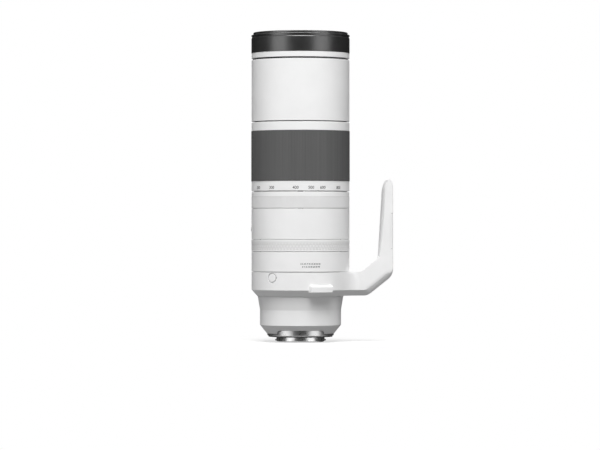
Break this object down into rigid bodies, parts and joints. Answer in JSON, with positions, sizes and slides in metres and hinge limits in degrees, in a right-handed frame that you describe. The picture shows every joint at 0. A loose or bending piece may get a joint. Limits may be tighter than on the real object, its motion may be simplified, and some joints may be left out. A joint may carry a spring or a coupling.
{
  "type": "camera zoom lens",
  "caption": "White telephoto zoom lens with ribbed zoom grip, focus and control rings, extending front, turning tripod collar with a tall foot, and a bayonet mount",
  "frame": {"origin": "Centre of the mounting flange's face, where the lens meets a camera", "axes": "+Z along the optical axis from the mount to the front glass, +X towards the tripod foot, +Y completes the right-handed frame"},
  "size_m": [0.147, 0.1196, 0.3206],
  "materials": {
    "white_paint": "satin off-white paint on moulded covers",
    "collar_paint": "satin off-white paint on a casting",
    "grey_plastic": "fine matt light grey",
    "grey_rubber": "light grey ribbed rubber",
    "dark_rubber": "dark grey ribbed rubber",
    "black_plastic": "satin black",
    "black_metal": "black anodised",
    "bare_metal": "turned metal",
    "gold": "bright",
    "board": "solder mask",
    "glass": "coated optical glass"
  },
  "bodies": {
    "barrel": {"main_tube": "black_metal", "mid_barrel": "white_paint", "main_barrel": "white_paint", "index_band": "white_paint", "rear_barrel": "white_paint", "mount_ring": "bare_metal", "mount_seal": "dark_rubber", "mount_screws": "bare_metal", "contact_block": "black_plastic", "contact_pins": "gold", "rear_baffle": "black_plastic", "rear_cell": "black_plastic", "rear_glass": "glass", "circuit_board": "board", "inner_chassis": "black_metal", "focus_rods": "bare_metal", "focus_motor": "black_metal", "stabilizer_base": "black_metal", "iris_base": "black_plastic", "switch_panel": "white_paint"},
    "zoom": {"zoom_ring": "white_paint", "zoom_grip": "dark_rubber", "cam_tube": "black_metal", "dust_seal": "dark_rubber"},
    "front": {"front_barrel": "white_paint", "front_trim_ring": "white_paint", "front_ring": "black_plastic", "glass_retainer": "black_plastic", "front_cell": "black_metal", "front_glass": "glass", "extension_tube": "white_paint", "extension_rollers": "gold"},
    "variator": {"variator_cell": "black_metal", "variator_glass": "glass"},
    "focus_control": {"focus_ring": "grey_plastic", "focus_grip": "grey_rubber"},
    "click_control": {"control_ring": "grey_plastic"},
    "collar": {"tripod_collar": "collar_paint", "foot_plate": "collar_paint", "tripod_bush": "bare_metal", "strap_lugs": "collar_paint", "collar_plug": "white_paint"},
    "knob": {"lock_knob": "black_plastic"},
    "button_top": {"top_button": "grey_plastic"},
    "button_side": {"side_button": "grey_plastic"},
    "switch_focus": {"focus_switch": "grey_plastic"},
    "switch_stabilizer": {"stabilizer_switch": "grey_plastic"},
    "focus_carrier": {"focus_cell": "black_metal", "focus_glass": "glass"},
    "stabilizer_x": {"stabilizer_x_frame": "black_metal"},
    "stabilizer_y": {"stabilizer_y_frame": "black_metal", "stabilizer_glass": "glass"},
    "iris_drive": {"iris_ring": "black_metal"},
    "blade_1": {"iris_blade_1": "black_metal"},
    "blade_2": {"iris_blade_2": "black_metal"},
    "blade_3": {"iris_blade_3": "black_metal"},
    "blade_4": {"iris_blade_4": "black_metal"},
    "blade_5": {"iris_blade_5": "black_metal"},
    "blade_6": {"iris_blade_6": "black_metal"},
    "blade_7": {"iris_blade_7": "black_metal"}
  },
  "joints": [
    {"name": "zoom_turn", "type": "hinge", "parent": "barrel", "child": "zoom", "pos_m": [0, 0, 0.185], "axis": [0, 0, 1], "range_deg": [-140, 0]},
    {"name": "front_extend", "type": "slide", "parent": "barrel", "child": "front", "axis": [0, 0, 1], "range_m": [0, 0.09]},
    {"name": "variator_move", "type": "slide", "parent": "barrel", "child": "variator", "axis": [0, 0, 1], "range_m": [0, 0.024]},
    {"name": "focus_ring_turn", "type": "hinge", "parent": "barrel", "child": "focus_control", "pos_m": [0, 0, 0.1384], "axis": [0, 0, 1], "continuous": true},
    {"name": "control_ring_turn", "type": "hinge", "parent": "barrel", "child": "click_control", "pos_m": [0, 0, 0.0936], "axis": [0, 0, 1], "continuous": true},
    {"name": "collar_turn", "type": "hinge", "parent": "barrel", "child": "collar", "pos_m": [0, 0, 0.057], "axis": [0, 0, 1], "continuous": true},
    {"name": "lock_knob_turn", "type": "hinge", "parent": "collar", "child": "knob", "pos_m": [-0.01398, 0.05216, 0.057], "axis": [-0.2588, 0.9659, 0], "range_deg": [0, 270]},
    {"name": "top_button_press", "type": "slide", "parent": "barrel", "child": "button_top", "axis": [1, 0, 0], "range_m": [0, 0.0005], "stiffness_N_per_m": 1500},
    {"name": "side_button_press", "type": "slide", "parent": "barrel", "child": "button_side", "axis": [0.6947, -0.7193, 0], "range_m": [0, 0.0005], "stiffness_N_per_m": 1500},
    {"name": "focus_switch_slide", "type": "slide", "parent": "barrel", "child": "switch_focus", "axis": [0, 0, -1], "range_m": [0, 0.004]},
    {"name": "stabilizer_switch_slide", "type": "slide", "parent": "barrel", "child": "switch_stabilizer", "axis": [0, 0, -1], "range_m": [0, 0.004]},
    {"name": "focus_cell_move", "type": "slide", "parent": "barrel", "child": "focus_carrier", "axis": [0, 0, 1], "range_m": [-0.005, 0.005]},
    {"name": "stabilizer_shift_x", "type": "slide", "parent": "barrel", "child": "stabilizer_x", "axis": [1, 0, 0], "range_m": [-0.001, 0.001], "stiffness_N_per_m": 300},
    {"name": "stabilizer_shift_y", "type": "slide", "parent": "stabilizer_x", "child": "stabilizer_y", "axis": [0, 1, 0], "range_m": [-0.001, 0.001], "stiffness_N_per_m": 300},
    {"name": "iris_turn", "type": "hinge", "parent": "barrel", "child": "iris_drive", "pos_m": [0, 0, 0.057], "axis": [0, 0, 1], "range_deg": [0, 6.69]},
    {"name": "blade_1_swing", "type": "hinge", "parent": "barrel", "child": "blade_1", "pos_m": [0.024, 0, 0.0538], "axis": [0, 0, 1], "range_deg": [0, 30]},
    {"name": "blade_2_swing", "type": "hinge", "parent": "barrel", "child": "blade_2", "pos_m": [0.01496, 0.01876, 0.0538], "axis": [0, 0, 1], "range_deg": [0, 30]},
    {"name": "blade_3_swing", "type": "hinge", "parent": "barrel", "child": "blade_3", "pos_m": [-0.00534, 0.0234, 0.0538], "axis": [0, 0, 1], "range_deg": [0, 30]},
    {"name": "blade_4_swing", "type": "hinge", "parent": "barrel", "child": "blade_4", "pos_m": [-0.02162, 0.01041, 0.0538], "axis": [0, 0, 1], "range_deg": [0, 30]},
    {"name": "blade_5_swing", "type": "hinge", "parent": "barrel", "child": "blade_5", "pos_m": [-0.02162, -0.01041, 0.0538], "axis": [0, 0, 1], "range_deg": [0, 30]},
    {"name": "blade_6_swing", "type": "hinge", "parent": "barrel", "child": "blade_6", "pos_m": [-0.00534, -0.0234, 0.0538], "axis": [0, 0, 1], "range_deg": [0, 30]},
    {"name": "blade_7_swing", "type": "hinge", "parent": "barrel", "child": "blade_7", "pos_m": [0.01496, -0.01876, 0.0538], "axis": [0, 0, 1], "range_deg": [0, 30]}
  ],
  "couplings": [
    {"joint": "front_extend", "follows": "zoom_turn", "m_per_rad": -0.036829},
    {"joint": "variator_move", "follows": "zoom_turn", "m_per_rad": -0.009818},
    {"joint": "blade_1_swing", "follows": "iris_turn", "ratio": 4.487},
    {"joint": "blade_2_swing", "follows": "iris_turn", "ratio": 4.487},
    {"joint": "blade_3_swing", "follows": "iris_turn", "ratio": 4.487},
    {"joint": "blade_4_swing", "follows": "iris_turn", "ratio": 4.487},
    {"joint": "blade_5_swing", "follows": "iris_turn", "ratio": 4.487},
    {"joint": "blade_6_swing", "follows": "iris_turn", "ratio": 4.487},
    {"joint": "blade_7_swing", "follows": "iris_turn", "ratio": 4.487}
  ]
}
